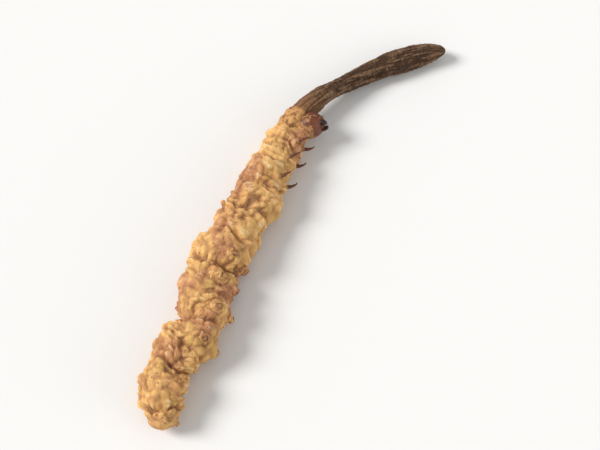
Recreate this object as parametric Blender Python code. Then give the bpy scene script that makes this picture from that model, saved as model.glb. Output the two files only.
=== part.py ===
"""A dried cordyceps: a ghost moth's larva filled by a fungus, whose club grows out of its head.

It lies on its left side on z = 0, with its tail towards -X, its club towards +X and its legs
towards -Y. Lengths below are in millimetres, and MM turns them into metres. A place is a distance
along the larva from the tip of its tail, or along the club from its root. A turn is an angle
around either, from its right-hand side (-Y) upwards.
"""

import math

import bmesh
import bpy
from mathutils import Matrix, Vector

MM = 0.001

# The larva's segments from the tail: name, length, depth of the groove at its front end.
SEGMENTS = (
    ("anal segment", 2.2, 0.42),
    ("abdomen 9", 2.0, 0.22),
    ("abdomen 8", 3.1, 0.50),
    ("abdomen 7", 3.0, 0.28),
    ("abdomen 6", 3.1, 0.50),
    ("abdomen 5", 3.6, 0.30),
    ("abdomen 4", 3.8, 0.46),
    ("abdomen 3", 4.0, 0.34),
    ("abdomen 2", 4.0, 0.42),
    ("abdomen 1", 3.8, 0.34),
    ("thorax 3", 3.4, 0.36),
    ("thorax 2", 3.0, 0.30),
    ("thorax 1", 2.6, 0.26),
)
LARVA_LENGTH = sum(length for _, length, _ in SEGMENTS)

# Each segment carries rings: one wide one and three narrow ones, or two on a short segment.
RING_SHARES = (0.34, 0.24, 0.22, 0.20)
SHORT_SEGMENT = 2.7
SHORT_RING_SHARES = (0.56, 0.44)
RING_GROOVE = 0.15
# Where a ring's crest starts and ends, as shares of its width, and how much rings differ in height.
RING_CREST = (0.27, 0.73)
RING_UNEVENNESS = 0.09
RING_UNEVENNESS_STEP = 2.4

# Half the larva's thickness at each place, over the rings' crests.
LARVA_RADII = (
    (0.0, 1.30), (1.0, 1.66), (2.2, 2.14), (3.6, 2.68), (5.4, 2.90), (7.3, 2.50), (8.8, 2.84),
    (10.8, 2.98), (13.4, 2.68), (15.2, 3.02), (18.0, 3.14), (20.8, 2.86), (23.0, 3.14),
    (26.0, 3.18), (28.8, 2.90), (31.0, 3.04), (34.0, 2.84), (36.6, 2.62), (39.0, 2.44),
    (41.6, 1.94),
)  # fmt: skip
TAIL_ROUNDING = 1.5
NECK_ROUNDING = 0.8
# Rows of points on the round ends, as distances from the end.
TAIL_ROWS = (0.12, 0.42)
NECK_ROWS = (0.5, 0.25, 0.08)
# The larva's height as a share of its width.
FLATTENING = 0.90

# How far the way forward leans from +X towards -Y, in degrees, and the middle line's height.
LARVA_LEANS = (
    (0.0, -24), (5.0, -20), (7.1, -8), (9.0, 12), (11.2, 11), (13.6, -8), (16.0, -19), (19.0, -14),
    (22.0, 3), (26.0, 6), (31.0, -3), (36.0, -1), (41.6, 12),
)  # fmt: skip
LARVA_HEIGHTS = (
    (0.0, 1.95), (4.0, 2.32), (8.0, 2.30), (12.0, 2.40), (18.0, 2.48), (25.0, 2.46), (30.0, 2.50),
    (36.0, 2.34), (41.6, 2.45),
)  # fmt: skip
# Where the tail starts, which puts the origin in the middle of the whole piece.
TAIL_TIP = (-30.125, 1.085)

# Unevenness of the flesh: size, waves around the larva, radians per millimetre along it, phase.
FLESH_WAVES = (
    (0.20, 1, 1.05, 0.4), (0.14, 2, -0.62, 1.9), (0.12, 3, 1.40, 4.2), (0.10, 4, -2.05, 0.7),
    (0.11, 5, 2.60, 2.5), (0.07, 7, -3.40, 5.1),
)  # fmt: skip
# The same for how far a ring strays forwards and backwards round the larva.
RING_WAVES = ((0.24, 2, 0.42, 0.3), (0.15, 3, -0.73, 1.1), (0.08, 5, 1.10, 3.0))
# Both fade where the larva is thinner than this.
THIN_RADIUS = 2.0

# The belly line's turn, in degrees, and each kind of leg's turns to both sides of that line.
BELLY_TURN = 18
PROLEG = {"spread": 38, "length": 0.95, "foot": 0.60, "root": 1.05, "sink": 0.75, "backwards": 0.10}
TAIL_LEG = {"spread": 42, "length": 0.55, "foot": 0.44, "root": 0.68, "sink": 0.45, "backwards": 0.30}
TRUE_LEG = {"spread": 27, "length": 1.15, "foot": 0.16, "root": 0.50, "sink": 0.55, "backwards": -0.35}
LEGS = {
    "anal segment": TAIL_LEG,
    "abdomen 6": PROLEG,
    "abdomen 5": PROLEG,
    "abdomen 4": PROLEG,
    "abdomen 3": PROLEG,
    "thorax 3": TRUE_LEG,
    "thorax 2": TRUE_LEG,
    "thorax 1": TRUE_LEG,
}
# A leg's outline: height as a share of its length, and shares of its root's and its foot's radius.
LEG_OUTLINE = ((-1.0, 1.2, 0.0), (-0.1, 1.15, 0.0), (0.3, 0.55, 0.45), (0.84, 0.0, 1.0), (1.0, 0.0, 0.66))

# The hard head: half its length, width and height, and its middle's place in front of the neck.
HEAD_SIZE = (1.90, 1.72, 1.55)
HEAD_AHEAD = 1.60
HEAD_TO_BELLY = 1.15
HEAD_BOW = 32

# The club, which grows out between the head and the back. Its root lies behind the neck.
CLUB_LENGTH = 25.0
CLUB_ROOT_BEHIND = 1.3
CLUB_TO_BACK = 0.70
CLUB_IN_HEAD = 9.0
CLUB_RADII = (
    (0.0, 1.42), (2.4, 1.66), (4.2, 1.50), (7.0, 1.22), (11.0, 1.18), (15.0, 1.30), (19.0, 1.48),
    (22.0, 1.30), (25.0, 0.72),
)  # fmt: skip
CLUB_ROOT_ROUNDING = 1.0
CLUB_TIP_ROUNDING = 1.3
CLUB_ROOT_ROWS = (0.12, 0.4)
CLUB_TIP_ROWS = (0.45, 0.12)
CLUB_LEANS = ((0.0, 12), (4.0, 13), (8.0, 22), (12.0, 34), (16.0, 38), (20.0, 46), (25.0, 62))
CLUB_HEIGHTS = ((0.0, 2.62), (4.0, 2.66), (9.0, 2.10), (14.0, 1.50), (19.0, 1.36), (25.0, 1.75))
CLUB_WAVES = (
    (0.10, 1, 0.70, 0.6), (0.07, 2, 0.35, 2.2), (0.06, 3, -0.55, 4.0), (0.07, 5, 0.16, 1.0),
    (0.05, 7, -0.22, 3.3),
)  # fmt: skip

# The gap that is kept between the pieces where they meet.
GAP = 0.3

# How finely the surfaces are divided.
LARVA_SIDES = 20
CLUB_SIDES = 14
CLUB_ROW_STEP = 0.62
LEG_SIDES = 10
HEAD_SUBDIVISIONS = 3
LINE_STEP = 0.1
# A bend between two faces that is sharper than this, in degrees, is shaded as a crease.
SHARP_ANGLE = 50


def value_at(keys, place):
    """The value at a place, on a smooth curve through (place, value) keys."""
    if place <= keys[0][0]:
        return keys[0][1]
    if place >= keys[-1][0]:
        return keys[-1][1]
    n = next(i for i in range(1, len(keys)) if place <= keys[i][0])

    def slope(i):
        before, after = keys[max(i - 1, 0)], keys[min(i + 1, len(keys) - 1)]
        return (after[1] - before[1]) / (after[0] - before[0])

    (x0, y0), (x1, y1) = keys[n - 1], keys[n]
    gap = x1 - x0
    t = (place - x0) / gap
    rise = y0 + (y1 - y0) * t * t * (3 - 2 * t)
    return rise + gap * (slope(n - 1) * t * (1 - t) ** 2 - slope(n) * t * t * (1 - t))


def round_ends(place, length, first, last):
    """1 along the middle, and a round fall to 0 within first of the start and last of the end."""
    short = max((first - place) / first, (place - length + last) / last, 0.0)
    return math.sqrt(max(1.0 - short * short, 0.0))


def waves(table, place, turn):
    return sum(size * math.sin(n * turn + k * place + phase) for size, n, k, phase in table)


class MiddleLine:
    """A line along a piece, with the ways forward, right and up at each place on it."""

    def __init__(self, start, leans, heights, length):
        self.leans, self.heights, self.length = leans, heights, length
        self.points = [Vector(start)]
        for n in range(int(length / LINE_STEP) + 1):
            lean = math.radians(value_at(leans, (n + 0.5) * LINE_STEP))
            self.points.append(self.points[-1] + LINE_STEP * Vector((math.cos(lean), -math.sin(lean))))

    def frame(self, place):
        """(point, forward, right, up) at a place. Past an end the line runs straight on."""
        held = min(max(place, 0.0), self.length)
        n = int(held / LINE_STEP)
        flat = self.points[n].lerp(self.points[n + 1], held / LINE_STEP - n)
        lean = math.radians(value_at(self.leans, held))
        rise = value_at(self.heights, held + LINE_STEP / 2) - value_at(self.heights, held - LINE_STEP / 2)
        forward = Vector((math.cos(lean), -math.sin(lean), rise / LINE_STEP)).normalized()
        right = forward.cross(Vector((0, 0, 1))).normalized()
        point = Vector((*flat, value_at(self.heights, held))) + forward * (place - held)
        return point, forward, right, right.cross(forward)

    def belly(self, place):
        """The way from the line to the belly."""
        _, _, right, up = self.frame(place)
        turn = math.radians(BELLY_TURN)
        return math.cos(turn) * right + math.sin(turn) * up


def segment_middles():
    """{name: place of the segment's middle}"""
    middles, rear = {}, 0.0
    for name, length, _ in SEGMENTS:
        middles[name] = rear + length / 2
        rear += length
    return middles


def larva_rows():
    """(place, how far the skin lies below the rings' crests) for each row of points."""
    rows, ring, rear, groove = [], 0, 0.0, 0.0
    for _, length, front_groove in SEGMENTS:
        shares = RING_SHARES if length > SHORT_SEGMENT else SHORT_RING_SHARES
        for n, share in enumerate(shares):
            wide = share * length
            crest = RING_UNEVENNESS * math.sin(RING_UNEVENNESS_STEP * ring)
            rows.append((rear, groove))
            rows += [(rear + part * wide, crest) for part in RING_CREST]
            rear += wide
            groove = front_groove if n == len(shares) - 1 else RING_GROOVE
            ring += 1
    end = LARVA_LENGTH + NECK_ROUNDING
    first_groove = 2
    tail = [(short, 0.0) for short in TAIL_ROWS]
    neck = [(LARVA_LENGTH, groove)] + [(end - short, 0.0) for short in NECK_ROWS]
    return tail + rows[first_groove:] + neck


def larva_radius(place):
    ends = round_ends(place, LARVA_LENGTH + NECK_ROUNDING, TAIL_ROUNDING, NECK_ROUNDING)
    return value_at(LARVA_RADII, place) * ends


def larva_point(line, place, turn, drop):
    point, forward, right, up = line.frame(place)
    radius = larva_radius(place)
    fade = min(radius / THIN_RADIUS, 1.0)
    radius += fade * (waves(FLESH_WAVES, place, turn) - drop)
    across = radius * math.cos(turn) * right + radius * FLATTENING * math.sin(turn) * up
    return point + across + fade * waves(RING_WAVES, place, turn) * forward


def club_point(line, place, turn, swell):
    point, _, right, up = line.frame(place)
    ends = round_ends(place, CLUB_LENGTH, CLUB_ROOT_ROUNDING, CLUB_TIP_ROUNDING)
    radius = value_at(CLUB_RADII, place) * ends
    radius += min(radius, 1.0) * waves(CLUB_WAVES, place, turn) + swell
    return point + radius * (math.cos(turn) * right + math.sin(turn) * up)


def club_rows(line, length, swell):
    count = round(length / CLUB_ROW_STEP)
    first, last = 2 * CLUB_ROOT_ROWS[-1], length - 2 * CLUB_TIP_ROWS[0]
    places = list(CLUB_ROOT_ROWS) + [first + (last - first) * n / count for n in range(count + 1)]
    places += [length - short for short in CLUB_TIP_ROWS]
    return [[club_point(line, place, turn, swell) for turn in turns(CLUB_SIDES)] for place in places]


def turns(sides):
    return [2 * math.pi * n / sides for n in range(sides)]


def add_tube(mesh, rows):
    """Adds rows of points, each row a ring, with faces between them. Returns the rings."""
    rings = [[mesh.verts.new(point * MM) for point in row] for row in rows]
    for ring, following in zip(rings, rings[1:]):
        for n in range(len(ring)):
            around = (n + 1) % len(ring)
            mesh.faces.new((ring[n], ring[around], following[around], following[n]))
    return rings


def pointed_tube(name, rows, first_tip, last_tip):
    """A closed object through rows of points, with a single point at each end."""
    mesh = bmesh.new()
    rings = add_tube(mesh, rows)
    for point, ring in ((first_tip, rings[0][::-1]), (last_tip, rings[-1])):
        tip = mesh.verts.new(point * MM)
        for n in range(len(ring)):
            mesh.faces.new((ring[n], ring[(n + 1) % len(ring)], tip))
    return new_object(name, mesh)


def new_object(name, mesh):
    """An object from a bmesh, with its faces pointing out and what would be below z = 0 pressed flat."""
    for vertex in mesh.verts:
        vertex.co.z = max(vertex.co.z, 0.0)
    bmesh.ops.recalc_face_normals(mesh, faces=mesh.faces)
    data = bpy.data.meshes.new(name)
    mesh.to_mesh(data)
    mesh.free()
    made = bpy.data.objects.new(name, data)
    bpy.context.scene.collection.objects.link(made)
    return made


def make_trunk(line):
    """The larva's segments with their rings, from the tip of the tail to the neck."""
    rows = [
        [larva_point(line, place, turn, drop) for turn in turns(LARVA_SIDES)]
        for place, drop in larva_rows()
    ]
    neck = line.frame(LARVA_LENGTH + NECK_ROUNDING)[0]
    return pointed_tube("larva", rows, line.frame(0.0)[0], neck)


def add_leg(mesh, line, place, side, shape):
    """A knob that narrows to a foot, its root sunk in the flesh. side is 1 or -1."""
    point, forward, right, up = line.frame(place)
    turn = math.radians(BELLY_TURN + side * shape["spread"])
    outward = math.cos(turn) * right + FLATTENING * math.sin(turn) * up
    root = point + outward * larva_radius(place)
    axis = (outward.normalized() - shape["backwards"] * forward).normalized()
    across = axis.cross(forward).normalized()
    along = across.cross(axis)
    rows = []
    for height, root_share, foot_share in LEG_OUTLINE:
        centre = root + axis * height * shape["length" if height > 0 else "sink"]
        radius = root_share * shape["root"] + foot_share * shape["foot"]
        rows.append([
            centre + radius * (math.cos(t) * across + math.sin(t) * along) for t in turns(LEG_SIDES)
        ])  # fmt: skip
    rings = add_tube(mesh, rows)
    mesh.faces.new(rings[0][::-1])
    mesh.faces.new(rings[-1])


def make_legs(line):
    """All the legs, as one helper that the trunk is joined with."""
    mesh = bmesh.new()
    middles = segment_middles()
    for name, shape in LEGS.items():
        for side in (1, -1):
            add_leg(mesh, line, middles[name], side, shape)
    return new_object("legs", mesh)


def make_head(line, name, swell):
    """The head's hard shell, bowed towards the belly. A swell makes it the room that it needs."""
    point, forward, _, _ = line.frame(LARVA_LENGTH)
    belly = line.belly(LARVA_LENGTH)
    bow = math.radians(HEAD_BOW)
    ahead = math.cos(bow) * forward + math.sin(bow) * belly
    aside = ahead.cross(belly).normalized()
    centre = point + forward * HEAD_AHEAD + belly * HEAD_TO_BELLY
    axes = Matrix((ahead, aside, aside.cross(ahead))).transposed().to_4x4()
    sizes = Matrix.Diagonal((*(half + swell for half in HEAD_SIZE), 1))
    placing = Matrix.Translation(centre * MM) @ axes @ sizes @ Matrix.Scale(MM, 4)
    mesh = bmesh.new()
    bmesh.ops.create_icosphere(mesh, subdivisions=HEAD_SUBDIVISIONS, radius=1.0, matrix=placing)
    return new_object(name, mesh)


def make_club(line):
    """A bent stalk with shallow ridges, thicker near its end, with a blunt tip."""
    rows = club_rows(line, CLUB_LENGTH, 0.0)
    return pointed_tube("stroma", rows, line.frame(0.0)[0], line.frame(CLUB_LENGTH)[0])


def make_club_room(line):
    """A helper: the room that the club needs in the neck and beside the head."""
    rows = club_rows(line, CLUB_IN_HEAD, GAP)
    return pointed_tube("club_room", rows, line.frame(-GAP)[0], line.frame(CLUB_IN_HEAD)[0])


def combine(target, helper, operation):
    """Joins a helper to a solid or cuts it away, and leaves the helper out of the part."""
    change = target.modifiers.new(helper.name, "BOOLEAN")
    change.operation = operation
    change.object = helper
    change.solver = "EXACT"
    helper.hide_render = True
    helper.display_type = "WIRE"


def finish(made, name, colour, roughness):
    """Gives a piece its material, and shades it smooth up to its sharp creases."""
    material = bpy.data.materials.new(name)
    material.use_nodes = True
    shader = material.node_tree.nodes["Principled BSDF"]
    shader.inputs["Base Color"].default_value = (*colour, 1.0)
    shader.inputs["Roughness"].default_value = roughness
    made.data.materials.append(material)
    made.data.shade_smooth()
    made.data.set_sharp_from_angle(angle=math.radians(SHARP_ANGLE))


def build():
    for old in list(bpy.data.objects):
        bpy.data.objects.remove(old)
    larva_line = MiddleLine(TAIL_TIP, LARVA_LEANS, LARVA_HEIGHTS, LARVA_LENGTH + NECK_ROUNDING)
    root_place = LARVA_LENGTH - CLUB_ROOT_BEHIND
    root = larva_line.frame(root_place)[0] - larva_line.belly(root_place) * CLUB_TO_BACK
    club_line = MiddleLine(root.xy, CLUB_LEANS, CLUB_HEIGHTS, CLUB_LENGTH)
    club_room = make_club_room(club_line)

    larva = make_trunk(larva_line)
    combine(larva, make_legs(larva_line), "UNION")
    combine(larva, make_head(larva_line, "head_room", GAP), "DIFFERENCE")
    combine(larva, club_room, "DIFFERENCE")
    finish(larva, "dried_skin", (0.60, 0.35, 0.14), 0.85)

    head = make_head(larva_line, "head", 0.0)
    combine(head, club_room, "DIFFERENCE")
    finish(head, "head_shell", (0.22, 0.08, 0.03), 0.35)

    finish(make_club(club_line), "dark_club", (0.13, 0.08, 0.05), 0.75)


build()
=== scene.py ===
"""The looks of one dried cordyceps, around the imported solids.

Lengths are in millimetres until the last step of each piece, and MM turns them into metres. A
place is a distance along the larva from the tip of its tail, or along the club from its root. A
turn is an angle around either, from its right-hand side (-Y) upwards.
"""

import math
from functools import partialmethod

import bmesh
import bpy
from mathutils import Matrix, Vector, noise


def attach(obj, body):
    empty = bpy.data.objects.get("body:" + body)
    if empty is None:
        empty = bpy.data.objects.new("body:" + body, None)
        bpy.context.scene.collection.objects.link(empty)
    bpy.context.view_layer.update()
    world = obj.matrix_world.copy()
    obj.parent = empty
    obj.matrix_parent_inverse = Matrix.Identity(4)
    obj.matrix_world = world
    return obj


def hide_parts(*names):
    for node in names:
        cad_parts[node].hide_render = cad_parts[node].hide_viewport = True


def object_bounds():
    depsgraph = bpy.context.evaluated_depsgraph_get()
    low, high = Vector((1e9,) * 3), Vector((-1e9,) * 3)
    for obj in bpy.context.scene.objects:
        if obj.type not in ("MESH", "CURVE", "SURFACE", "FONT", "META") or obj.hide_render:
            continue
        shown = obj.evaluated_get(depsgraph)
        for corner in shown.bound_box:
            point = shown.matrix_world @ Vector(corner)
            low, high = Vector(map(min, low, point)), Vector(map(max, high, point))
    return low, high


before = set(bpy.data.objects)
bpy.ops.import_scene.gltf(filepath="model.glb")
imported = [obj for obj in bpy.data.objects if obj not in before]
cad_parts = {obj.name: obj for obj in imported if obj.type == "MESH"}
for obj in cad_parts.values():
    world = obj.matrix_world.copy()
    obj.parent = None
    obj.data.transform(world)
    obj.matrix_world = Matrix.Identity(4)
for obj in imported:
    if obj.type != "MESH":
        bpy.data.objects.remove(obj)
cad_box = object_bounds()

MM = 0.001
BODY = "root"

# ---- the part's own shape, as in its source

# The larva's segments from the tail: name, length, depth of the groove at its front end.
SEGMENTS = (
    ("anal segment", 2.2, 0.42), ("abdomen 9", 2.0, 0.22), ("abdomen 8", 3.1, 0.50),
    ("abdomen 7", 3.0, 0.28), ("abdomen 6", 3.1, 0.50), ("abdomen 5", 3.6, 0.30),
    ("abdomen 4", 3.8, 0.46), ("abdomen 3", 4.0, 0.34), ("abdomen 2", 4.0, 0.42),
    ("abdomen 1", 3.8, 0.34), ("thorax 3", 3.4, 0.36), ("thorax 2", 3.0, 0.30),
    ("thorax 1", 2.6, 0.26),
)
LARVA_LENGTH = sum(length for _, length, _ in SEGMENTS)
RING_SHARES = (0.34, 0.24, 0.22, 0.20)
SHORT_SEGMENT = 2.7
SHORT_RING_SHARES = (0.56, 0.44)
RING_UNEVENNESS = 0.09
RING_UNEVENNESS_STEP = 2.4
# Here and for the club: (place, value). Leans are in degrees from +X towards -Y.
LARVA_RADII = (
    (0.0, 1.30), (1.0, 1.66), (2.2, 2.14), (3.6, 2.68), (5.4, 2.90), (7.3, 2.50), (8.8, 2.84),
    (10.8, 2.98), (13.4, 2.68), (15.2, 3.02), (18.0, 3.14), (20.8, 2.86), (23.0, 3.14),
    (26.0, 3.18), (28.8, 2.90), (31.0, 3.04), (34.0, 2.84), (36.6, 2.62), (39.0, 2.44),
    (41.6, 1.94),
)
TAIL_ROUNDING = 1.5
NECK_ROUNDING = 0.8
FLATTENING = 0.90
LARVA_LEANS = (
    (0.0, -24), (5.0, -20), (7.1, -8), (9.0, 12), (11.2, 11), (13.6, -8), (16.0, -19), (19.0, -14),
    (22.0, 3), (26.0, 6), (31.0, -3), (36.0, -1), (41.6, 12),
)
LARVA_HEIGHTS = (
    (0.0, 1.95), (4.0, 2.32), (8.0, 2.30), (12.0, 2.40), (18.0, 2.48), (25.0, 2.46), (30.0, 2.50),
    (36.0, 2.34), (41.6, 2.45),
)
TAIL_TIP = (-30.125, 1.085)
FLESH_WAVES = (
    (0.20, 1, 1.05, 0.4), (0.14, 2, -0.62, 1.9), (0.12, 3, 1.40, 4.2), (0.10, 4, -2.05, 0.7),
    (0.11, 5, 2.60, 2.5), (0.07, 7, -3.40, 5.1),
)
RING_WAVES = ((0.24, 2, 0.42, 0.3), (0.15, 3, -0.73, 1.1), (0.08, 5, 1.10, 3.0))
THIN_RADIUS = 2.0
BELLY_TURN = 18
PROLEG = {"spread": 38, "length": 0.95, "foot": 0.60, "root": 1.05, "backwards": 0.10}
TAIL_LEG = {"spread": 42, "length": 0.55, "foot": 0.44, "root": 0.68, "backwards": 0.30}
STUB_LEGS = {"anal segment": TAIL_LEG} | {f"abdomen {n}": PROLEG for n in (6, 5, 4, 3)}
TRUE_LEG_SEGMENTS = ("thorax 3", "thorax 2", "thorax 1")
TRUE_LEG_SPREAD = 27
HEAD_SIZE = (1.90, 1.72, 1.55)
HEAD_AHEAD = 1.60
HEAD_TO_BELLY = 1.15
HEAD_BOW = 32
CLUB_LENGTH = 25.0
CLUB_ROOT_BEHIND = 1.3
CLUB_TO_BACK = 0.70
CLUB_RADII = (
    (0.0, 1.42), (2.4, 1.66), (4.2, 1.50), (7.0, 1.22), (11.0, 1.18), (15.0, 1.30), (19.0, 1.48),
    (22.0, 1.30), (25.0, 0.72),
)
CLUB_ROOT_ROUNDING = 1.0
CLUB_TIP_ROUNDING = 1.3
CLUB_LEANS = ((0.0, 12), (4.0, 13), (8.0, 22), (12.0, 34), (16.0, 38), (20.0, 46), (25.0, 62))
CLUB_HEIGHTS = ((0.0, 2.62), (4.0, 2.66), (9.0, 2.10), (14.0, 1.50), (19.0, 1.36), (25.0, 1.75))
CLUB_WAVES = (
    (0.10, 1, 0.70, 0.6), (0.07, 2, 0.35, 2.2), (0.06, 3, -0.55, 4.0), (0.07, 5, 0.16, 1.0),
    (0.05, 7, -0.22, 3.3),
)

# ---- how finely the looks are made

ROW_STEP = 0.105
ROUND_END_STEPS = 14
LARVA_SIDES = 186
CLUB_SIDES = 100
LINE_STEP = 0.1
RING_ROUNDNESS = 3.0
SEAM_ROUNDNESS = 2.2
RING_GROOVE = 0.17
ABOVE_FLOOR = 0.02
MERGE_DISTANCE = 0.0005


def value_at(keys, place):
    """The value at a place, on a smooth curve through (place, value) keys."""
    if place <= keys[0][0]:
        return keys[0][1]
    if place >= keys[-1][0]:
        return keys[-1][1]
    n = next(i for i in range(1, len(keys)) if place <= keys[i][0])

    def slope(i):
        before, after = keys[max(i - 1, 0)], keys[min(i + 1, len(keys) - 1)]
        return (after[1] - before[1]) / (after[0] - before[0])

    (x0, y0), (x1, y1) = keys[n - 1], keys[n]
    gap = x1 - x0
    t = (place - x0) / gap
    rise = y0 + (y1 - y0) * t * t * (3 - 2 * t)
    return rise + gap * (slope(n - 1) * t * (1 - t) ** 2 - slope(n) * t * t * (1 - t))


def round_ends(place, length, first, last):
    """1 along the middle, and a round fall to 0 within first of the start and last of the end."""
    short = max((first - place) / first, (place - length + last) / last, 0.0)
    return math.sqrt(max(1.0 - short * short, 0.0))


def bell(value, width):
    """1 at 0, falling smoothly to nearly 0 at twice the width on either side."""
    return math.exp(-((value / width) ** 2))


def ramp(value, low, high):
    """0 up to low, 1 from high on, and a smooth change between. High may be the lower one."""
    t = min(max((value - low) / (high - low), 0.0), 1.0)
    return t * t * (3 - 2 * t)


class MiddleLine:
    """A line along a piece, with the ways forward, right and up at each place on it."""

    def __init__(self, start, leans, heights, length):
        self.leans, self.heights, self.length = leans, heights, length
        self.points = [Vector(start)]
        for n in range(int(length / LINE_STEP) + 1):
            lean = math.radians(value_at(leans, (n + 0.5) * LINE_STEP))
            step = LINE_STEP * Vector((math.cos(lean), -math.sin(lean)))
            self.points.append(self.points[-1] + step)

    def frame(self, place):
        """(point, forward, right, up) at a place. Past an end the line runs straight on."""
        held = min(max(place, 0.0), self.length)
        n = int(held / LINE_STEP)
        flat = self.points[n].lerp(self.points[n + 1], held / LINE_STEP - n)
        lean = math.radians(value_at(self.leans, held))
        behind, ahead = (value_at(self.heights, held + way * LINE_STEP / 2) for way in (-1, 1))
        rise = (ahead - behind) / LINE_STEP
        forward = Vector((math.cos(lean), -math.sin(lean), rise)).normalized()
        right = forward.cross(Vector((0, 0, 1))).normalized()
        point = Vector((*flat, value_at(self.heights, held))) + forward * (place - held)
        return point, forward, right, right.cross(forward)

    def outward(self, place, degrees):
        """The way out from the line at a turn, given in degrees from the belly line."""
        _, _, right, up = self.frame(place)
        turn = math.radians(BELLY_TURN + degrees)
        return math.cos(turn) * right + math.sin(turn) * up


# Length, and how far from the start and from the end the piece is rounded.
LARVA_ENDS = (LARVA_LENGTH + NECK_ROUNDING, TAIL_ROUNDING, NECK_ROUNDING)
CLUB_ENDS = (CLUB_LENGTH, CLUB_ROOT_ROUNDING, CLUB_TIP_ROUNDING)
LARVA_LINE = MiddleLine(TAIL_TIP, LARVA_LEANS, LARVA_HEIGHTS, LARVA_ENDS[0])


def club_line():
    root_place = LARVA_LENGTH - CLUB_ROOT_BEHIND
    root = LARVA_LINE.frame(root_place)[0] - LARVA_LINE.outward(root_place, 0) * CLUB_TO_BACK
    return MiddleLine(root.xy, CLUB_LEANS, CLUB_HEIGHTS, CLUB_LENGTH)


CLUB_LINE = club_line()


def larva_radius(place):
    return value_at(LARVA_RADII, place) * round_ends(place, *LARVA_ENDS)


def segment_middles():
    """{name: place of the segment's middle}"""
    middles, rear = {}, 0.0
    for name, length, _ in SEGMENTS:
        middles[name] = rear + length / 2
        rear += length
    return middles


MIDDLES = segment_middles()


# ---- writing node trees

VECTOR = "FLOAT_VECTOR"
SOCKETS = {int: "Int", float: "Float", tuple: "Color", Vector: "Vector", bpy.types.Object: "Object"}


def kind_of(value):
    """A number's or a vector's data type, as nodes name it."""
    field_kind = value.socket.type if isinstance(value, Field) else None
    return VECTOR if isinstance(value, Vector) or field_kind == "VECTOR" else "FLOAT"


def calculate(operation, *values):
    """A node that calculates with numbers, or with vectors if any of the values is one."""
    tree = next(value.tree for value in values if isinstance(value, Field))
    kinds = [kind_of(value) for value in values]
    if VECTOR not in kinds:
        return tree.node("Math", *values, operation=operation)
    if operation == "MULTIPLY" and "FLOAT" in kinds:
        operation = "SCALE"
        values = sorted(values, key=kind_of, reverse=True)
    return tree.node("VectorMath", *values, operation=operation)


class Field:
    """A value in a node tree. Whatever is done with it adds the nodes that do it."""

    def __init__(self, tree, socket):
        self.tree, self.socket = tree, socket

    def math(self, operation, *values):
        return calculate(operation, self, *values)

    __add__ = __radd__ = partialmethod(math, "ADD")
    __sub__ = partialmethod(math, "SUBTRACT")
    __mul__ = __rmul__ = partialmethod(math, "MULTIPLY")
    __truediv__ = partialmethod(math, "DIVIDE")

    def __rsub__(self, first):
        return calculate("SUBTRACT", first, self)

    def __rtruediv__(self, first):
        return calculate("DIVIDE", first, self)

    def out(self, name):
        """Another output of the same node."""
        return Field(self.tree, self.socket.node.outputs[name])

    def step(self, low, high, first=0.0, last=1.0):
        """first at low, last at high, and a smooth change between them."""
        values = (self, low, high, first, last)
        return self.tree.node("MapRange", *values, interpolation_type="SMOOTHSTEP")

    def noise(self, scale, detail=2.0, roughness=0.5, distortion=0.0):
        """Soft unevenness from 0 to 1, about 0.5 on average."""
        values = (self, scale, detail, roughness)
        return self.tree.node("TexNoise", *values, Distortion=distortion)

    def drift(self, scale):
        """A vector that wanders softly about 0."""
        return self.noise(scale, 1.0).out("Color") - Vector((0.5, 0.5, 0.5))

    def off_lines(self, scale, roughness, distortion):
        """0 on wandering lines, and more the farther from them."""
        return (self.noise(scale, 3.0, roughness, distortion) - 0.5).math("ABSOLUTE")

    def cells(self, scale, **named):
        """Distance from the middle of each of many cells, in widths of a cell."""
        return self.tree.node("TexVoronoi", self, scale, **named)

    def domes(self, size, softness, randomness=1.0, dimensions="3D", steepness=1.6):
        """Round pebbles packed side by side: 1 on top of each, and 0 in the creases between."""
        distance = self.cells(
            1.0 / size, feature="SMOOTH_F1", voronoi_dimensions=dimensions,
            Randomness=randomness, Smoothness=softness,
        )
        return (1.0 - distance * distance * steepness).math("MAXIMUM", 0.0)

    def waves(self, table, turn):
        """The sum of a table of waves: size, waves around, radians per millimetre, phase."""
        total = 0.0
        for size, around, along, phase in table:
            angle = self.math("MULTIPLY_ADD", along, turn.math("MULTIPLY_ADD", around, phase))
            total = angle.math("SINE").math("MULTIPLY_ADD", size, total)
        return total


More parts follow.
